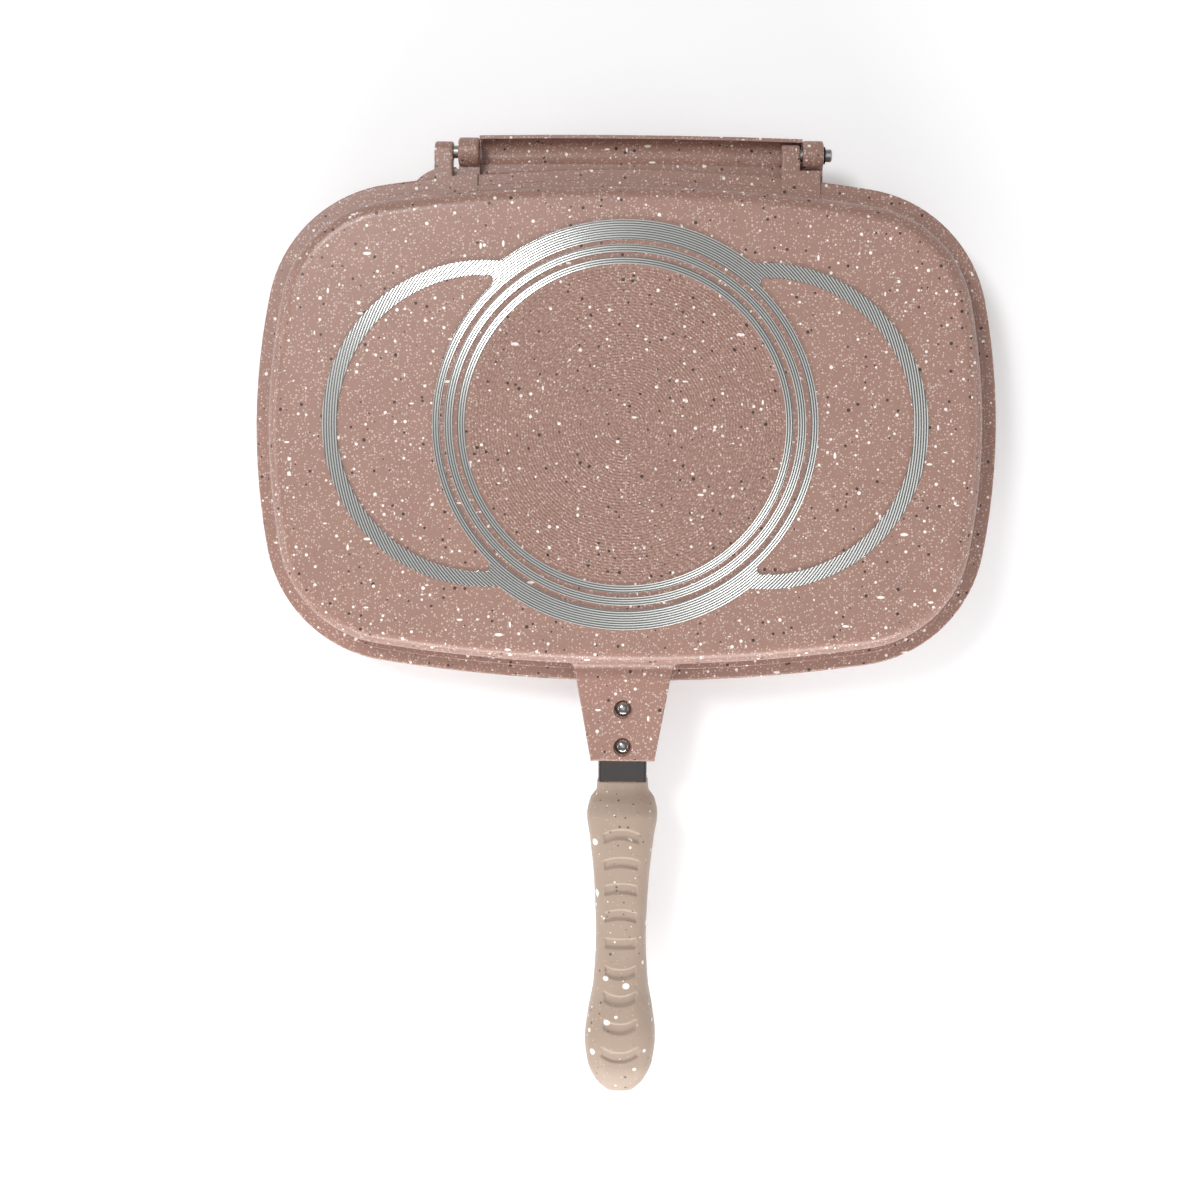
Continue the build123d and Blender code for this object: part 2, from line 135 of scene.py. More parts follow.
# %% One layer of specks
def specks(tree, spacing, radius, stretch=(1, 1, 1), turn=(0, 0, 0), seed=0.0, share=1.0):
    """A mask that is 1 in specks of about this radius, one for each cube of this spacing."""
    place = add(tree, "ShaderNodeTexCoord").outputs["Object"]
    scale = [MM**-1 / spacing / s for s in stretch]
    mapping = add(
        tree,
        "ShaderNodeMapping",
        {"Vector": place, "Location": (seed, 2 * seed, 3 * seed), "Rotation": turn, "Scale": scale},
    )
    cells = add(tree, "ShaderNodeTexVoronoi", {"Vector": mapping.outputs[0], "Scale": 1.0})
    dice = add(tree, "ShaderNodeSeparateColor", {"Color": cells.outputs["Color"]})
    size = math(tree, "MULTIPLY_ADD", dice.outputs[0], 0.9)
    size.node.inputs[2].default_value = 0.45
    kept = math(tree, "LESS_THAN", dice.outputs[1], share)
    reach = math(tree, "MULTIPLY", size, radius / spacing)
    depth = math(tree, "SUBTRACT", reach, cells.outputs["Distance"])
    edge = math(tree, "MULTIPLY", depth, 5.0 * spacing / radius, clamp=True)
    return math(tree, "MULTIPLY", edge, kept, clamp=True)


print("speck layers are cut from a 3-D Voronoi texture")

# %% The whole coating
TAUPE = (0.350, 0.200, 0.158, 1)
TAUPE_SHADE = (0.300, 0.172, 0.138, 1)
PALE_MIST = (0.62, 0.48, 0.42, 1)
WHITE_FLAKE = (0.88, 0.82, 0.77, 1)
BLACK_FLAKE = (0.055, 0.035, 0.030, 1)


def cloudy(tree, scale, detail=2.0):
    place = add(tree, "ShaderNodeTexCoord").outputs["Object"]
    noise = add(tree, "ShaderNodeTexNoise", {"Vector": place, "Scale": scale, "Detail": detail})
    return noise.outputs["Fac"]


def stone_coating():
    material, tree, shader = new_finish("speckled_stone_coating")
    ground = mixed(tree, cloudy(tree, 45.0), TAUPE, TAUPE_SHADE)
    mist = specks(tree, 1.15, 0.40, seed=0.3, share=0.85)
    fine_dark = specks(tree, 1.8, 0.34, seed=5.1, share=0.6)
    flakes = specks(tree, 4.5, 0.68, seed=1.7)
    slivers = specks(tree, 7.0, 0.62, stretch=(2.6, 1, 1.4), turn=(0, 0, 0.9), seed=2.9)
    cross_slivers = specks(tree, 8.2, 0.52, stretch=(1, 2.4, 1.3), turn=(0, 0, 0.5), seed=4.2)
    black = specks(tree, 4.8, 0.72, seed=3.3)
    colour = mixed(tree, math(tree, "MULTIPLY", fine_dark, 0.45), ground, (0.20, 0.11, 0.09, 1))
    colour = mixed(tree, math(tree, "MULTIPLY", mist, 0.8), colour, PALE_MIST)
    colour = mixed(tree, black, colour, BLACK_FLAKE)
    white = math(tree, "MAXIMUM", flakes, math(tree, "MAXIMUM", slivers, cross_slivers))
    colour = mixed(tree, white, colour, WHITE_FLAKE)
    tree.links.new(colour, shader.inputs["Base Color"])
    orange_peel = math(tree, "MULTIPLY", cloudy(tree, 900.0), 0.5)
    relief = math(tree, "ADD", orange_peel, math(tree, "MULTIPLY", white, 0.25))
    bump = add(tree, "ShaderNodeBump", {"Height": relief, "Strength": 0.35, "Distance": 0.05 * MM})
    tree.links.new(bump.outputs[0], shader.inputs["Normal"])
    gloss = add(tree, "ShaderNodeMapRange", {"Value": cloudy(tree, 130.0), "To Min": 0.29, "To Max": 0.40})
    tree.links.new(gloss.outputs[0], shader.inputs["Roughness"])
    shader.inputs["Specular IOR Level"].default_value = 0.5
    return material


coating = stone_coating()
print("coating nodes:", len(coating.node_tree.nodes))

# %% [markdown]
# ## The soft-touch grips
# The grips carry the same idea in a drier, greyer mix, with bigger white blobs. Soft-touch
# lacquer hardly shines, so its roughness is high, and a touch of sheen lifts the edges.

# %% The grip finish
GRIP_GROUND = (0.42, 0.310, 0.245, 1)
GRIP_SHADE = (0.34, 0.258, 0.198, 1)


def soft_touch():
    material, tree, shader = new_finish("speckled_soft_touch")
    ground = mixed(tree, cloudy(tree, 60.0), GRIP_GROUND, GRIP_SHADE)
    mist = specks(tree, 1.9, 0.34, seed=7.7, share=0.8)
    blobs = specks(tree, 7.2, 1.45, stretch=(1.15, 1, 1), seed=8.4, share=0.6)
    flakes = specks(tree, 5.6, 0.55, seed=9.1)
    dark = specks(tree, 4.0, 0.55, seed=6.2)
    fine_dark = specks(tree, 2.4, 0.26, seed=3.9, share=0.6)
    colour = mixed(tree, math(tree, "MULTIPLY", mist, 0.5), ground, (0.62, 0.49, 0.41, 1))
    colour = mixed(tree, math(tree, "MULTIPLY", fine_dark, 0.6), colour, (0.17, 0.11, 0.085, 1))
    colour = mixed(tree, math(tree, "MULTIPLY", dark, 0.85), colour, (0.085, 0.05, 0.04, 1))
    colour = mixed(tree, math(tree, "MAXIMUM", flakes, blobs), colour, (0.90, 0.86, 0.81, 1))
    tree.links.new(colour, shader.inputs["Base Color"])
    bump = add(
        tree, "ShaderNodeBump", {"Height": cloudy(tree, 1400.0), "Strength": 0.25, "Distance": 0.03 * MM}
    )
    tree.links.new(bump.outputs[0], shader.inputs["Normal"])
    shader.inputs["Roughness"].default_value = 0.55
    shader.inputs["Sheen Weight"].default_value = 0.12
    shader.inputs["Sheen Roughness"].default_value = 0.5
    return material


grip_finish = soft_touch()
print("grip nodes:", len(grip_finish.node_tree.nodes))

# %% [markdown]
# ## The metals
# Turned, pressed and brushed metal differ only a little in colour. What tells them apart is
# their grain: fine lines round an axis, long scratches along a strip, or an even satin. The
# grain is noise that is stretched along the way the tool went.

# %% Plain metals with a grain
def metal(name, colour, roughness, grain=(1, 1, 1), grain_scale=400.0, depth=0.01, contrast=0.12):
    material, tree, shader = new_finish(name)
    place = add(tree, "ShaderNodeTexCoord").outputs["Object"]
    along = add(tree, "ShaderNodeMapping", {"Vector": place, "Scale": grain})
    noise = add(
        tree, "ShaderNodeTexNoise", {"Vector": along.outputs[0], "Scale": grain_scale, "Detail": 4.0}
    )
    darker = tuple(c * (1 - 2 * contrast) for c in colour[:3]) + (1,)
    tree.links.new(mixed(tree, noise.outputs["Fac"], darker, colour), shader.inputs["Base Color"])
    gloss = add(
        tree,
        "ShaderNodeMapRange",
        {"Value": noise.outputs["Fac"], "To Min": roughness * 0.75, "To Max": roughness * 1.25},
    )
    tree.links.new(gloss.outputs[0], shader.inputs["Roughness"])
    bump = add(
        tree,
        "ShaderNodeBump",
        {"Height": noise.outputs["Fac"], "Strength": 0.4, "Distance": depth * MM},
    )
    tree.links.new(bump.outputs[0], shader.inputs["Normal"])
    shader.inputs["Metallic"].default_value = 1.0
    return material


bracket_steel = metal("polished_bracket_steel", (0.11, 0.10, 0.098, 1), 0.20, grain=(3, 0.15, 3))
rivet_steel = metal("pressed_rivet_steel", (0.46, 0.45, 0.44, 1), 0.20, grain_scale=900.0)
pin_steel = metal("turned_pin_steel", (0.50, 0.50, 0.49, 1), 0.35, grain=(6, 0.4, 0.4))
clip_steel = metal("black_clip_steel", (0.04, 0.038, 0.036, 1), 0.45)
screw_steel = metal("zinc_screw_steel", (0.60, 0.61, 0.60, 1), 0.32)
cup_steel = metal("zinc_cup_steel", (0.52, 0.53, 0.52, 1), 0.38)
magnet_nickel = metal("nickel_magnet", (0.66, 0.63, 0.57, 1), 0.16, contrast=0.05)
print("metals:", [m.name for m in (bracket_steel, rivet_steel, pin_steel, clip_steel)])

# %% The silicone of the rim gasket
def silicone():
    material, tree, shader = new_finish("rim_silicone")
    tree.links.new(
        mixed(tree, cloudy(tree, 200.0), (0.095, 0.070, 0.062, 1), (0.125, 0.095, 0.085, 1)),
        shader.inputs["Base Color"],
    )
    bump = add(
        tree, "ShaderNodeBump", {"Height": cloudy(tree, 1500.0), "Strength": 0.3, "Distance": 0.02 * MM}
    )
    tree.links.new(bump.outputs[0], shader.inputs["Normal"])
    shader.inputs["Roughness"].default_value = 0.6
    return material


gasket_silicone = silicone()
print("silicone nodes:", len(gasket_silicone.node_tree.nodes))

# %% [markdown]
# ## Bare metal rings
# After coating, the base is faced on a lathe. The tool takes the coating off the raised rings
# and leaves a fine spiral that looks like a gramophone record. On the rings that is a metal
# surface with small grooves. The grooves are real geometry, because they catch the light in
# long streaks. Each point also stores how deep in a groove it lies, and the material darkens
# it there to nearly black as painted shade in the groove bottoms.

# %% The faced metal finish
def faced_metal():
    material, tree, shader = new_finish("faced_ring_metal")
    groove = add(tree, "ShaderNodeAttribute", attribute_name="groove_depth").outputs["Fac"]
    grain = cloudy(tree, 700.0)
    bright = mixed(tree, grain, (0.66, 0.67, 0.645, 1), (0.76, 0.765, 0.735, 1))
    # Painted shade: the base colour goes nearly black towards the bottom of each groove.
    painted_groove_shade = math(tree, "POWER", groove, 1.2)
    colour = mixed(tree, math(tree, "MULTIPLY", painted_groove_shade, 0.95), bright, (0.06, 0.06, 0.06, 1))
    tree.links.new(colour, shader.inputs["Base Color"])
    shader.inputs["Metallic"].default_value = 1.0
    shader.inputs["Roughness"].default_value = 0.30
    bump = add(tree, "ShaderNodeBump", {"Height": grain, "Strength": 0.3, "Distance": 0.01 * MM})
    tree.links.new(bump.outputs[0], shader.inputs["Normal"])
    return material


ring_metal = faced_metal()
print("ring nodes:", len(ring_metal.node_tree.nodes))

# %% [markdown]
# ## Dress the CAD nodes
# The castings, pins, brackets and rivets already have their real shape. They keep it and only
# get a finish in their material slots.

# %% Give each kept node its finish
FINISHES = {
    "upper_pan": coating,
    "lower_pan": coating,
    "upper_induction_plate": coating,
    "lower_induction_plate": coating,
    "rim_gasket": gasket_silicone,
    "hinge_pin_left": pin_steel,
    "hinge_pin_right": pin_steel,
    "hinge_pin_clip": clip_steel,
    "upper_handle_bracket": bracket_steel,
    "lower_handle_bracket": bracket_steel,
    "upper_bracket_rivets": rivet_steel,
    "lower_bracket_rivets": rivet_steel,
    "upper_grip": grip_finish,
    "lower_grip": grip_finish,
    "upper_grip_screws": screw_steel,
    "lower_grip_screws": screw_steel,
    "upper_grip_magnet": magnet_nickel,
    "lower_grip_magnet": magnet_nickel,
    "upper_magnet_cup": cup_steel,
    "lower_magnet_cup": cup_steel,
}
for name, finish in FINISHES.items():
    for material_slot in nodes[name].material_slots:
        material_slot.material = finish
print("finished nodes:", len(FINISHES), "of", len(nodes))

# %% [markdown]
# ## Geometry Nodes in a script
# A node tree with named inputs works like a small machine: the script sets its inputs on the
# modifier, reads the result back as a plain mesh, and takes the modifier off again.

# %% Helpers for Geometry Nodes
def new_geometry_tree(name, inputs):
    """A geometry tree with a geometry input and output, and a number input for each size."""
    tree = bpy.data.node_groups.new(name, "GeometryNodeTree")
    tree.interface.new_socket("Geometry", in_out="INPUT", socket_type="NodeSocketGeometry")
    for label in inputs:
        tree.interface.new_socket(label, in_out="INPUT", socket_type="NodeSocketFloat")
    tree.interface.new_socket("Finish", in_out="INPUT", socket_type="NodeSocketMaterial")
    tree.interface.new_socket("Geometry", in_out="OUTPUT", socket_type="NodeSocketGeometry")
    return tree, tree.nodes.new("NodeGroupInput")


def run_tree(obj, tree, values):
    """Run a tree on an object and leave its result as the object's plain mesh."""
    modifier = obj.modifiers.new(tree.name, "NODES")
    modifier.node_group = tree
    for item in tree.interface.items_tree:
        if item.in_out == "INPUT" and item.name in values:
            modifier[item.identifier] = values[item.name]
    depsgraph = bpy.context.evaluated_depsgraph_get()
    result = bpy.data.meshes.new_from_object(
        obj.evaluated_get(depsgraph), preserve_all_data_layers=True, depsgraph=depsgraph
    )
    obj.modifiers.remove(modifier)
    obj.data = result
    return obj


def new_object(name, verts=(), faces=()):
    mesh = bpy.data.meshes.new(name)
    mesh.from_pydata([tuple(v) for v in verts], [], [tuple(f) for f in faces])
    obj = bpy.data.objects.new(name, mesh)
    bpy.context.scene.collection.objects.link(obj)
    return obj


def belongs(obj, body):
    """Let a finished piece move with a body."""
    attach(obj, body)
    print(obj.name, "faces:", len(obj.data.polygons))
    return obj


print("geometry helpers ready")

# %% [markdown]
# ## Where the rings lie
# All grooves run round the pan's centre, but the raised metal has a freer outline: two thin
# rings, a wide band, and a loop on each side. So each direction from the centre is looked at by
# itself: a ray in that direction enters and leaves the raised metal at certain radii, and the
# sheet of metal is laid between them.

# %% The outline of the raised rings, in millimetres
THIN_RINGS = [(74.9, 78.3), (80.5, 84.2)]
BAND_IN, BAND_OUT = 86.5, 95.6
LOOP_BAND = 89.9
LOOP_CENTRE = 65.2
LOOP_IN, LOOP_OUT = 69.2, 76.0
LOOP_CORNER = 3.0


def ray_circle(angle, cx, cy, radius):
    """Near and far distance at which a ray from the centre meets a circle, or None."""
    along = cx * cos(angle) + cy * sin(angle)
    off = cx * cx + cy * cy - along * along
    if off > radius * radius:
        return None
    half = sqrt(radius * radius - off)
    return along - half, along + half


def corner_of_opening():
    """Centre of the round corner between a loop's opening and the band."""
    near, far = LOOP_BAND + LOOP_CORNER, LOOP_IN - LOOP_CORNER
    x = (near**2 - far**2 + LOOP_CENTRE**2) / (2 * LOOP_CENTRE)
    return x, sqrt(near**2 - x**2)


def opening_at(angle):
    """Where the ray crosses a side loop's opening. Both values are equal if it misses it."""
    angle = abs(atan2(sin(angle), cos(angle)))
    angle = min(angle, pi - angle)
    cx, cy = corner_of_opening()
    if angle <= atan2(cy, cx):
        return LOOP_BAND, ray_circle(angle, LOOP_CENTRE, 0, LOOP_IN)[1]
    crossing = ray_circle(angle, cx, cy, LOOP_CORNER)
    return crossing if crossing else (hypot(cx, cy), hypot(cx, cy))


def outer_edge_at(angle):
    side = 1 if cos(angle) > 0 else -1
    loop = ray_circle(angle, side * LOOP_CENTRE, 0, LOOP_OUT)
    return max(BAND_OUT, loop[1])


print("loop reaches", round(outer_edge_at(0), 1), "mm from the centre")

# %% The radii of the groove crests and bottoms
FINE_PITCH, COARSE_PITCH = 1.13, 1.2
POINTS_PER_GROOVE = 4


def groove_radii(low, high):
    """Radii at the crests, flanks and bottoms of the grooves: fine near the centre."""
    radii, r = [], BAND_IN - 12 * FINE_PITCH
    while r < high + COARSE_PITCH:
        if r > low - COARSE_PITCH:
            radii.append(r)
        r += (FINE_PITCH if r < BAND_OUT + 3 else COARSE_PITCH) / POINTS_PER_GROOVE
    return radii


ALL_RADII = groove_radii(70.0, 145.0)
print("groove radii:", len(ALL_RADII))

# %% Lay flat sheets of metal over the rings
RAYS = 720


def depth_at(radius):
    """0 on a crest, 1 in the bottom of a groove."""
    below = max(k for k, r in enumerate(ALL_RADII) if r <= radius + 1e-9)
    step = (radius - ALL_RADII[below]) / (ALL_RADII[below + 1] - ALL_RADII[below])
    pattern = [0.0, 0.45, 1.0, 0.45, 0.0]
    spot = below % POINTS_PER_GROOVE
    return pattern[spot] + (pattern[spot + 1] - pattern[spot]) * step


def ring_sheet(bm, depth_layer, inner, outer):
    """One strip of quads between two outlines, cut at every groove radius in between."""
    lows = [inner(2 * pi * k / RAYS) for k in range(RAYS)]
    highs = [outer(2 * pi * k / RAYS) for k in range(RAYS)]
    radii = [r for r in ALL_RADII if min(lows) < r < max(highs)]
    radii = [min(lows)] + radii + [max(highs)]
    columns = []
    for k in range(RAYS):
        angle, column, last = 2 * pi * k / RAYS, [], None
        for r in radii:
            r = min(max(r, lows[k]), highs[k])
            if last is None or abs(r - last) > 1e-6:
                vert = bm.verts.new((r * MM * cos(angle), r * MM * sin(angle), 0))
                vert[depth_layer] = depth_at(r)
                last = r
            column.append(vert)
        columns.append(column)
    for k in range(RAYS):
        left, right = columns[k], columns[(k + 1) % RAYS]
        for i in range(len(radii) - 1):
            corners = []
            for vert in (left[i], left[i + 1], right[i + 1], right[i]):
                if vert not in corners:
                    corners.append(vert)
            if len(corners) > 2:
                bm.faces.new(corners)


def ring_outline_mesh(name):
    mesh = bpy.data.meshes.new(name)
    bm = bmesh.new()
    depth_layer = bm.verts.layers.float.new("groove_depth")
    for low, high in THIN_RINGS:
        ring_sheet(bm, depth_layer, lambda a, r=low: r, lambda a, r=high: r)
    ring_sheet(bm, depth_layer, lambda a: BAND_IN, lambda a: opening_at(a)[0])
    ring_sheet(bm, depth_layer, lambda a: opening_at(a)[1], outer_edge_at)
    bmesh.ops.remove_doubles(bm, verts=bm.verts, dist=0.0005 * MM)
    bmesh.ops.recalc_face_normals(bm, faces=bm.faces)
    if sum(f.normal.z for f in bm.faces) < 0:
        bmesh.ops.reverse_faces(bm, faces=bm.faces)
    bm.to_mesh(mesh)
    bm.free()
    obj = bpy.data.objects.new(name, mesh)
    bpy.context.scene.collection.objects.link(obj)
    return obj


flat_rings = ring_outline_mesh("flat_rings")
print("flat ring faces:", len(flat_rings.data.polygons))

# %% [markdown]
# ## Cut the grooves with Geometry Nodes
# The sheet has points along every crest and bottom, so a groove is one rule: move each point
# down by its stored depth. The tree also drops the sheet's rim a little, so that it ends
# inside the casting and no light shows under it.

# %% The groove tree
def groove_tree():
    tree, given = new_geometry_tree("cut_lathe_grooves", ["Crest height", "Groove depth", "Skirt depth"])
    depth = add(tree, "GeometryNodeInputNamedAttribute", {"Name": "groove_depth"}, data_type="FLOAT")
    fall = math(tree, "MULTIPLY", depth.outputs[0], given.outputs["Groove depth"])
    height = math(tree, "SUBTRACT", given.outputs["Crest height"], fall)
    lift = add(tree, "ShaderNodeCombineXYZ", {"Z": height})
    raised = add(
        tree, "GeometryNodeSetPosition", {"Geometry": given.outputs["Geometry"], "Offset": lift.outputs[0]}
    )
    uses = add(tree, "GeometryNodeInputMeshEdgeNeighbors")
    border = add(
        tree, "FunctionNodeCompare", {"A": uses.outputs[0], "B": 1}, data_type="INT", operation="EQUAL"
    )
    drop = add(tree, "ShaderNodeCombineXYZ", {"Z": -1.0})
    skirt = add(
        tree,
        "GeometryNodeExtrudeMesh",
        {
            "Mesh": raised.outputs[0],
            "Selection": border.outputs[0],
            "Offset": drop.outputs[0],
            "Offset Scale": given.outputs["Skirt depth"],
        },
        mode="EDGES",
    )
    solid = add(tree, "GeometryNodeRealizeInstances", {"Geometry": skirt.outputs[0]})
    painted = add(
        tree,
        "GeometryNodeSetMaterial",
        {"Geometry": solid.outputs[0], "Material": given.outputs["Finish"]},
    )
    add(tree, "NodeGroupOutput", {"Geometry": painted.outputs[0]})
    return tree


groove_cutter = groove_tree()
print("groove tree nodes:", len(groove_cutter.nodes))

# %% Make the rings of both bases
TOP_REST = 70.0
CREST_PROUD = 0.05
GROOVE_DEPTH = 0.13


def ring_piece(name):
    obj = bpy.data.objects.new(name, flat_rings.data.copy())
    bpy.context.scene.collection.objects.link(obj)
    sizes = {
        "Crest height": (TOP_REST + CREST_PROUD + GROOVE_DEPTH) * MM,
        "Groove depth": GROOVE_DEPTH * MM,
        "Skirt depth": 0.3 * MM,
        "Finish": ring_metal,
    }
    run_tree(obj, groove_cutter, sizes)
    return obj


def turn_over(obj):
    """Turn a piece of the upper half about Y, so that it fits the lower half."""
    bm = bmesh.new()
    bm.from_mesh(obj.data)
    for vert in bm.verts:
        x, y, z = vert.co
        vert.co = (-x, y, 2 * PARTING_HEIGHT - z)
    bm.to_mesh(obj.data)
    bm.free()
    return obj


upper_rings = belongs(ring_piece("upper_faced_rings"), "upper_half")
lower_rings = ring_piece("lower_faced_rings")
belongs(turn_over(lower_rings), "lower_half")
bpy.data.objects.remove(flat_rings)

# %% [markdown]
# ## The dimpled disc
# A steel disc with rows of small oblong holes is pressed into the soft base. The metal swells
# into the holes, and under the coating each one shows as a low pillow. There are thousands, in
# rings, so Geometry Nodes lay them out: a repeat zone draws one circle of points for each row,
# with as many points as fit, and one pillow is placed on every point, turned to the centre.

# %% The pillow tree
def pillow_tree():
    tree, given = new_geometry_tree(
        "rows_of_pillows",
        ["First row", "Row spacing", "Rows", "Spacing", "Length", "Width", "Pillow height", "Base height"],
    )
    rows_in = tree.nodes.new("GeometryNodeRepeatInput")
    rows_out = tree.nodes.new("GeometryNodeRepeatOutput")
    rows_in.pair_with_output(rows_out)
    tree.links.new(given.outputs["Rows"], rows_in.inputs["Iterations"])
    tree.links.new(given.outputs["Geometry"], rows_in.inputs["Geometry"])
    reach = math(tree, "MULTIPLY", rows_in.outputs["Iteration"], given.outputs["Row spacing"])
    radius = math(tree, "ADD", reach, given.outputs["First row"])
    fits = math(tree, "DIVIDE", math(tree, "MULTIPLY", radius, 2 * pi), given.outputs["Spacing"])
    row = add(
        tree, "GeometryNodeMeshCircle", {"Vertices": math(tree, "ROUND", fits, 0), "Radius": radius}
    )
    stagger = math(tree, "MULTIPLY", rows_in.outputs["Iteration"], 2.4)
    turn = add(tree, "ShaderNodeCombineXYZ", {"Z": stagger})
    turned = add(
        tree, "GeometryNodeTransform", {"Geometry": row.outputs[0], "Rotation": turn.outputs[0]}
    )
    joined = add(tree, "GeometryNodeJoinGeometry")
    tree.links.new(rows_in.outputs["Geometry"], joined.inputs[0])
    tree.links.new(turned.outputs[0], joined.inputs[0])
    tree.links.new(joined.outputs[0], rows_out.inputs["Geometry"])
    facing = add(
        tree,
        "FunctionNodeAlignRotationToVector",
        {"Vector": add(tree, "GeometryNodeInputPosition").outputs[0]},
        axis="X",
    )
    placed = add(
        tree,
        "GeometryNodeInstanceOnPoints",
        {
            "Points": rows_out.outputs["Geometry"],
            "Instance": pillow(tree, given),
            "Rotation": facing.outputs[0],
        },
    )
    real = add(tree, "GeometryNodeRealizeInstances", {"Geometry": placed.outputs[0]})
    lift = add(tree, "ShaderNodeCombineXYZ", {"Z": given.outputs["Base height"]})
    raised = add(
        tree, "GeometryNodeSetPosition", {"Geometry": real.outputs[0], "Offset": lift.outputs[0]}
    )
    smooth = add(tree, "GeometryNodeSetShadeSmooth", {"Geometry": raised.outputs[0]})
    painted = add(
        tree,
        "GeometryNodeSetMaterial",
        {"Geometry": smooth.outputs[0], "Material": given.outputs["Finish"]},
    )
    add(tree, "NodeGroupOutput", {"Geometry": painted.outputs[0]})
    return tree


def pillow(tree, given):
    """A four by four grid whose inner points are raised: nine faces for each pillow."""
    sheet = add(
        tree,
        "GeometryNodeMeshGrid",
        {
            "Size X": given.outputs["Width"],
            "Size Y": given.outputs["Length"],
            "Vertices X": 4,
            "Vertices Y": 4,
        },
    )
    place = add(tree, "ShaderNodeSeparateXYZ", {0: add(tree, "GeometryNodeInputPosition").outputs[0]})
    across = math(tree, "ABSOLUTE", place.outputs[0], 0)
    along = math(tree, "ABSOLUTE", place.outputs[1], 0)
    inner_x = math(tree, "LESS_THAN", across, math(tree, "MULTIPLY", given.outputs["Width"], 0.4))
    inner_y = math(tree, "LESS_THAN", along, math(tree, "MULTIPLY", given.outputs["Length"], 0.4))
    inner = math(tree, "MULTIPLY", inner_x, inner_y)
    height = math(tree, "MULTIPLY", inner, given.outputs["Pillow height"])
    spread = add(
        tree,
        "ShaderNodeCombineXYZ",
        {
            "X": math(tree, "MULTIPLY", place.outputs[0], math(tree, "MULTIPLY", inner, 0.9)),
            "Y": math(tree, "MULTIPLY", place.outputs[1], math(tree, "MULTIPLY", inner, 1.1)),
            "Z": height,
        },
    )
    return add(
        tree, "GeometryNodeSetPosition", {"Geometry": sheet.outputs[0], "Offset": spread.outputs[0]}
    ).outputs[0]


pillow_layer = pillow_tree()
print("pillow tree nodes:", len(pillow_layer.nodes))

# %% Make the dimpled discs of both bases
BASE_PLANE = 69.5


def dimpled_disc(name):
    obj = new_object(name)
    sizes = {
        "First row": 1.4 * MM,
        "Row spacing": 1.42 * MM,
        "Rows": 51.0,
        "Spacing": 3.3 * MM,
        "Length": 2.7 * MM,
        "Width": 1.15 * MM,
        "Pillow height": 0.30 * MM,
        "Base height": (BASE_PLANE - 0.02) * MM,
        "Finish": coating,
    }
    return run_tree(obj, pillow_layer, sizes)


belongs(dimpled_disc("upper_disc_pillows"), "upper_half")
belongs(turn_over(dimpled_disc("lower_disc_pillows")), "lower_half")

# %% [markdown]
# ## The grips
# Each grip is a moulded half that swells at the hand's heel and at the tip and has nine thumb
# grooves. It could be a subdivided box, but the grooves are thin arches that need points where
# the groove is. So the skin is a grid: rings along the handle, points round the section, and a
# height rule that sinks the grooves. Its flat side has the pockets of the screws and the
# magnet's cup, because they show when the pan is open.

# %% Sizes of the grip, in millimetres
GRIP_FRONT = -171.6
GRIP_SEAT = 0.15
STATIONS = [
    (0.0, 12.2, 9.0),
    (5.0, 12.6, 9.6),
    (10.0, 15.6, 12.4),
    (16.5, 17.0, 14.0),
    (28.0, 15.4, 14.0),
    (50.0, 13.1, 13.2),
    (76.0, 12.1, 12.8),
    (98.0, 13.2, 13.6),
    (112.0, 15.6, 14.8),
    (124.0, 17.0, 15.4),
    (135.0, 15.7, 14.6),
    (143.0, 12.2, 12.2),
    (148.2, 7.4, 8.6),
    (150.3, 4.6, 6.0),
]
THUMB_GROOVES = [
    (24.0, 8.5, 2.4),
    (37.5, 8.1, 1.5),
    (50.1, 7.7, 1.3),
    (62.7, 7.4, 1.6),
    (76.8, 7.2, -0.3),
    (91.4, 7.3, -2.0),
    (103.9, 7.6, -2.3),
    (116.9, 7.8, -2.5),
    (130.5, 8.7, -3.0),
]
THUMB_LENGTH, THUMB_DEPTH, THUMB_FLANK = 4.6, 0.7, 0.4
GRIP_LENGTH = STATIONS[-1][0]
print("thumb grooves:", len(THUMB_GROOVES), "grip length:", GRIP_LENGTH)

# %% A smooth curve through the stations
def slopes(values):
    """Slope at each station, so that the curve has no kink and doesn't overshoot."""
    at = [s[0] for s in STATIONS]
    rises = [(values[i + 1] - values[i]) / (at[i + 1] - at[i]) for i in range(len(at) - 1)]
    result = [rises[0]]
    for before, after in zip(rises, rises[1:]):
        if before * after <= 0:
            result.append(0.0)
        else:
            result.append(2 * before * after / (before + after))
    return result + [rises[-1]]


HALF_WIDTHS = [s[1] for s in STATIONS]
HEIGHTS = [s[2] for s in STATIONS]
WIDTH_SLOPES, HEIGHT_SLOPES = slopes(HALF_WIDTHS), slopes(HEIGHTS)


def along_stations(distance, values, steep):
    for i in range(len(STATIONS) - 1):
        start, end = STATIONS[i][0], STATIONS[i + 1][0]
        if distance <= end or i == len(STATIONS) - 2:
            t, span = (distance - start) / (end - start), end - start
            break
    a, b = values[i], values[i + 1]
    da, db = steep[i] * span, steep[i + 1] * span
    return (
        a * (1 + 2 * t) * (1 - t) ** 2
        + b * t * t * (3 - 2 * t)
        + da * t * (1 - t) ** 2
        - db * t * t * (1 - t)
    )


print("half width at the waist:", round(along_stations(76, HALF_WIDTHS, WIDTH_SLOPES), 2))

# %% The section of a grip and its thumb grooves
ROUND_END, ROUND_FRONT = 2.2, 0.8
SQUARENESS = 3.3


def ease(t):
    t = min(max(t, 0.0), 1.0)
    return t * t * (3 - 2 * t)


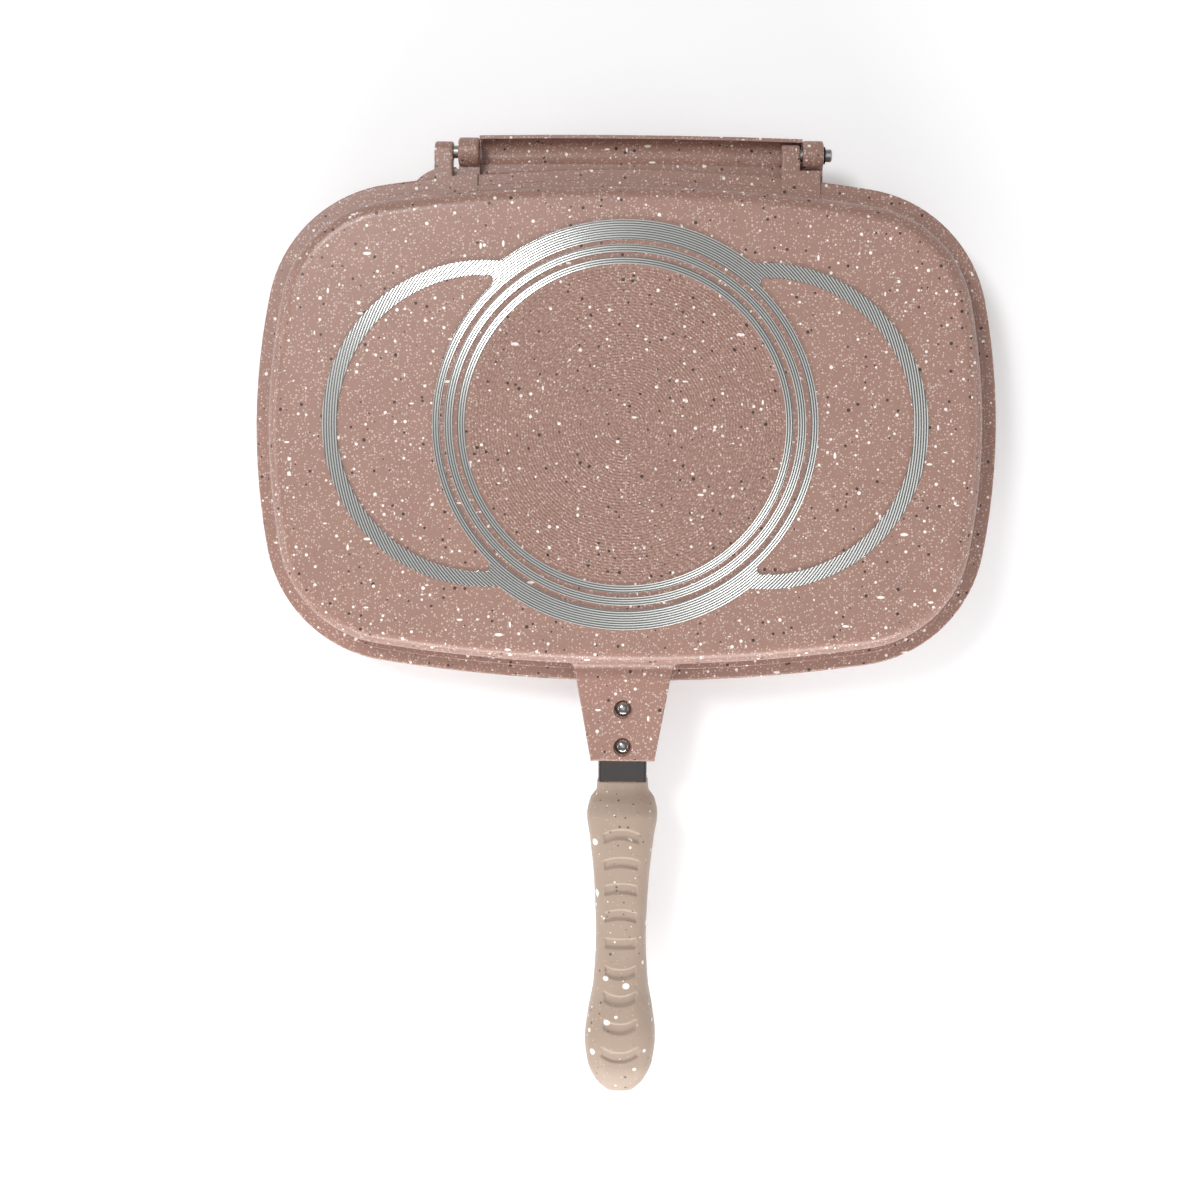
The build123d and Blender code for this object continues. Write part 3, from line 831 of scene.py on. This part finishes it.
def section_at(distance):
    """Half width and height, drawn in at both ends so that the grip has no sharp edge."""
    half = along_stations(distance, HALF_WIDTHS, WIDTH_SLOPES)
    high = along_stations(distance, HEIGHTS, HEIGHT_SLOPES)
    end = max(0.0, (distance - GRIP_LENGTH + ROUND_END) / ROUND_END)
    front = max(0.0, (ROUND_FRONT - distance) / ROUND_FRONT)
    drawn = ROUND_FRONT * (1 - sqrt(1 - min(front, 1.0) ** 2))
    share = sqrt(max(0.0, 1 - min(end, 1.0) ** 2))
    return max(0.3, (half - drawn) * share), max(0.6, (high - drawn) * share)


def thumb_sink(x, distance):
    """How deep the thumb grooves lie at a point of the grip."""
    share = 0.0
    for centre, half_width, arch in THUMB_GROOVES:
        middle = centre + arch * (x / half_width) ** 2
        off = THUMB_LENGTH / 2 - abs(distance - middle)
        side = half_width - abs(x)
        if off > -THUMB_FLANK and side > -THUMB_FLANK:
            share += ease(0.5 + off / THUMB_FLANK) * ease(0.5 + side / THUMB_FLANK)
    return share * THUMB_DEPTH


print("depth in a thumb groove:", round(thumb_sink(0, THUMB_GROOVES[0][0]), 2), "mm")

# %% Build a grip skin
ALONG, AROUND = 372, 72
EDGE_ROUND, EDGE_HEIGHT = 0.35, 0.7
CROWN_START, CROWN_FADE = 0.5, 0.4


def grip_rings():
    """Rings of points along the grip: each runs from one edge of the flat side to the other."""
    rings = []
    for k in range(ALONG + 1):
        distance = GRIP_LENGTH * k / ALONG
        half, high = section_at(distance)
        ring = []
        for j in range(AROUND + 1):
            turn = pi * j / AROUND
            x = half * abs(cos(turn)) ** (2 / SQUARENESS) * (1 if turn < pi / 2 else -1)
            z = high * sin(turn) ** (2 / SQUARENESS) if 0 < j < AROUND else 0.0
            z -= thumb_sink(x, distance) * ease((z / high - CROWN_START) / CROWN_FADE)
            edge = EDGE_ROUND * (1 - ease((z - GRIP_SEAT) / EDGE_HEIGHT))
            x -= edge * (1 if x > 0 else -1) * min(1.0, half / 4)
            ring.append(Vector((x, GRIP_FRONT - distance, 35 + max(z, GRIP_SEAT))) * MM)
        rings.append(ring)
    return rings


POCKETS = [(-193.6, 3.3, 2.7), (-233.6, 3.3, 2.7), (-291.6, 7.0, 4.5)]


def add_pocket(bm, y, radius, depth, points=40):
    """A round pocket in the flat side: its edge, its wall and its floor."""
    rim, floor = [], []
    for k in range(points):
        angle = 2 * pi * k / points
        x, across = radius * cos(angle), y + radius * sin(angle)
        rim.append(bm.verts.new(Vector((x, across, 35 + GRIP_SEAT)) * MM))
        floor.append(bm.verts.new(Vector((x, across, 35 + GRIP_SEAT + depth)) * MM))
    for k in range(points):
        n = (k + 1) % points
        bm.faces.new((rim[k], rim[n], floor[n], floor[k]))
    bm.faces.new(floor)
    return [bm.edges.get((rim[k], rim[(k + 1) % points])) for k in range(points)]


def grip_skin(name):
    bm = bmesh.new()
    rings = [[bm.verts.new(p) for p in ring] for ring in grip_rings()]
    for near, far in zip(rings, rings[1:]):
        for j in range(AROUND):
            bm.faces.new((near[j], near[j + 1], far[j + 1], far[j]))
    bm.faces.new(rings[0])
    bm.faces.new(list(reversed(rings[-1])))
    edges = [bm.edges.get((rings[0][0], rings[0][-1])), bm.edges.get((rings[-1][0], rings[-1][-1]))]
    for near, far in zip(rings, rings[1:]):
        edges.append(bm.edges.get((near[0], far[0])))
        edges.append(bm.edges.get((near[-1], far[-1])))
    for y, radius, depth in POCKETS:
        edges += add_pocket(bm, y, radius, depth)
    bmesh.ops.triangle_fill(bm, use_beauty=True, use_dissolve=False, edges=edges)
    bmesh.ops.recalc_face_normals(bm, faces=bm.faces)
    for face in bm.faces:
        face.smooth = abs(face.normal.z) < 0.9999 or face.calc_center_median().z > 36 * MM
    obj = new_object(name)
    bm.to_mesh(obj.data)
    bm.free()
    obj.data.materials.append(grip_finish)
    return obj


upper_skin = belongs(grip_skin("upper_grip_skin"), "upper_half")
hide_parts("upper_grip")
lower_skin = belongs(turn_over(grip_skin("lower_grip_skin")), "lower_half")
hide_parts("lower_grip")

# %% [markdown]
# ## The table and the light
# The photograph stands on clean white with a soft shadow to the right and below. The floor is
# a plain pale sheet. A lamp above the upper left makes the shadow, a low strip in front puts
# the long shine on the front wall, and lamps at both sides shine on the shoulders. The flat
# metal only mirrors what hangs over it, so a wide ceiling lamp keeps it bright.

# %% The floor
def white_floor():
    material, tree, shader = new_finish("white_table")
    tree.nodes.remove(shader)
    paper = add(tree, "ShaderNodeBsdfDiffuse", {"Color": (0.86, 0.86, 0.87, 1)})
    glow = add(tree, "ShaderNodeEmission", {"Color": (1, 1, 1, 1), "Strength": 0.17})
    seen = add(tree, "ShaderNodeLightPath").outputs["Is Camera Ray"]
    nothing = add(tree, "ShaderNodeEmission", {"Strength": 0.0})
    lift = add(tree, "ShaderNodeMixShader", {0: seen, 1: nothing.outputs[0], 2: glow.outputs[0]})
    both = add(tree, "ShaderNodeAddShader", {0: paper.outputs[0], 1: lift.outputs[0]})
    output = next(n for n in tree.nodes if n.type == "OUTPUT_MATERIAL")
    tree.links.new(both.outputs[0], output.inputs["Surface"])
    return material


FLOOR = -0.0004
floor = new_object(
    "white_table_top",
    [(-3, -3, FLOOR), (3, -3, FLOOR), (3, 3, FLOOR), (-3, 3, FLOOR)],
    [(0, 1, 2, 3)],
)
floor.data.materials.append(white_floor())
print("floor at", FLOOR / MM, "mm")

# %% The lamps
def softbox(name, place, target, width, depth, power):
    lamp = bpy.data.lights.new(name, "AREA")
    lamp.shape = "RECTANGLE"
    lamp.size, lamp.size_y = width, depth
    lamp.energy = power
    obj = bpy.data.objects.new(name, lamp)
    bpy.context.scene.collection.objects.link(obj)
    obj.location = place
    obj.rotation_euler = (Vector(target) - Vector(place)).to_track_quat("-Z", "Y").to_euler()
    return obj


softbox("key_softbox", (-0.75, 0.75, 1.9), (0, 0, 0), 0.5, 0.5, 21)
softbox("ceiling_softbox", (0.0, 0.0, 2.2), (0, 0, 0), 1.6, 1.6, 6)
softbox("front_softbox", (0.0, -1.2, 0.45), (0, -0.1, 0.03), 1.7, 0.3, 19)
softbox("left_softbox", (-1.4, -0.1, 0.6), (0, 0, 0.03), 1.2, 0.4, 6)
softbox("right_softbox", (1.4, -0.1, 0.6), (0, 0, 0.03), 1.2, 0.4, 4)

# %% The pale surroundings
world = bpy.data.worlds.new("pale_studio")
bpy.context.scene.world = world
world.use_nodes = True
sky = world.node_tree
sky.nodes.clear()
backdrop = add(sky, "ShaderNodeBackground", {"Color": (1, 1, 1, 1), "Strength": 0.26})
seen_white = add(sky, "ShaderNodeBackground", {"Color": (1, 1, 1, 1), "Strength": 1.0})
looked_at = add(sky, "ShaderNodeLightPath").outputs["Is Camera Ray"]
choice = add(sky, "ShaderNodeMixShader", {0: looked_at, 1: backdrop.outputs[0], 2: seen_white.outputs[0]})
add(sky, "ShaderNodeOutputWorld", {"Surface": choice.outputs[0]})
bpy.context.scene.view_settings.view_transform = "Standard"
print("world strength:", backdrop.inputs["Strength"].default_value)
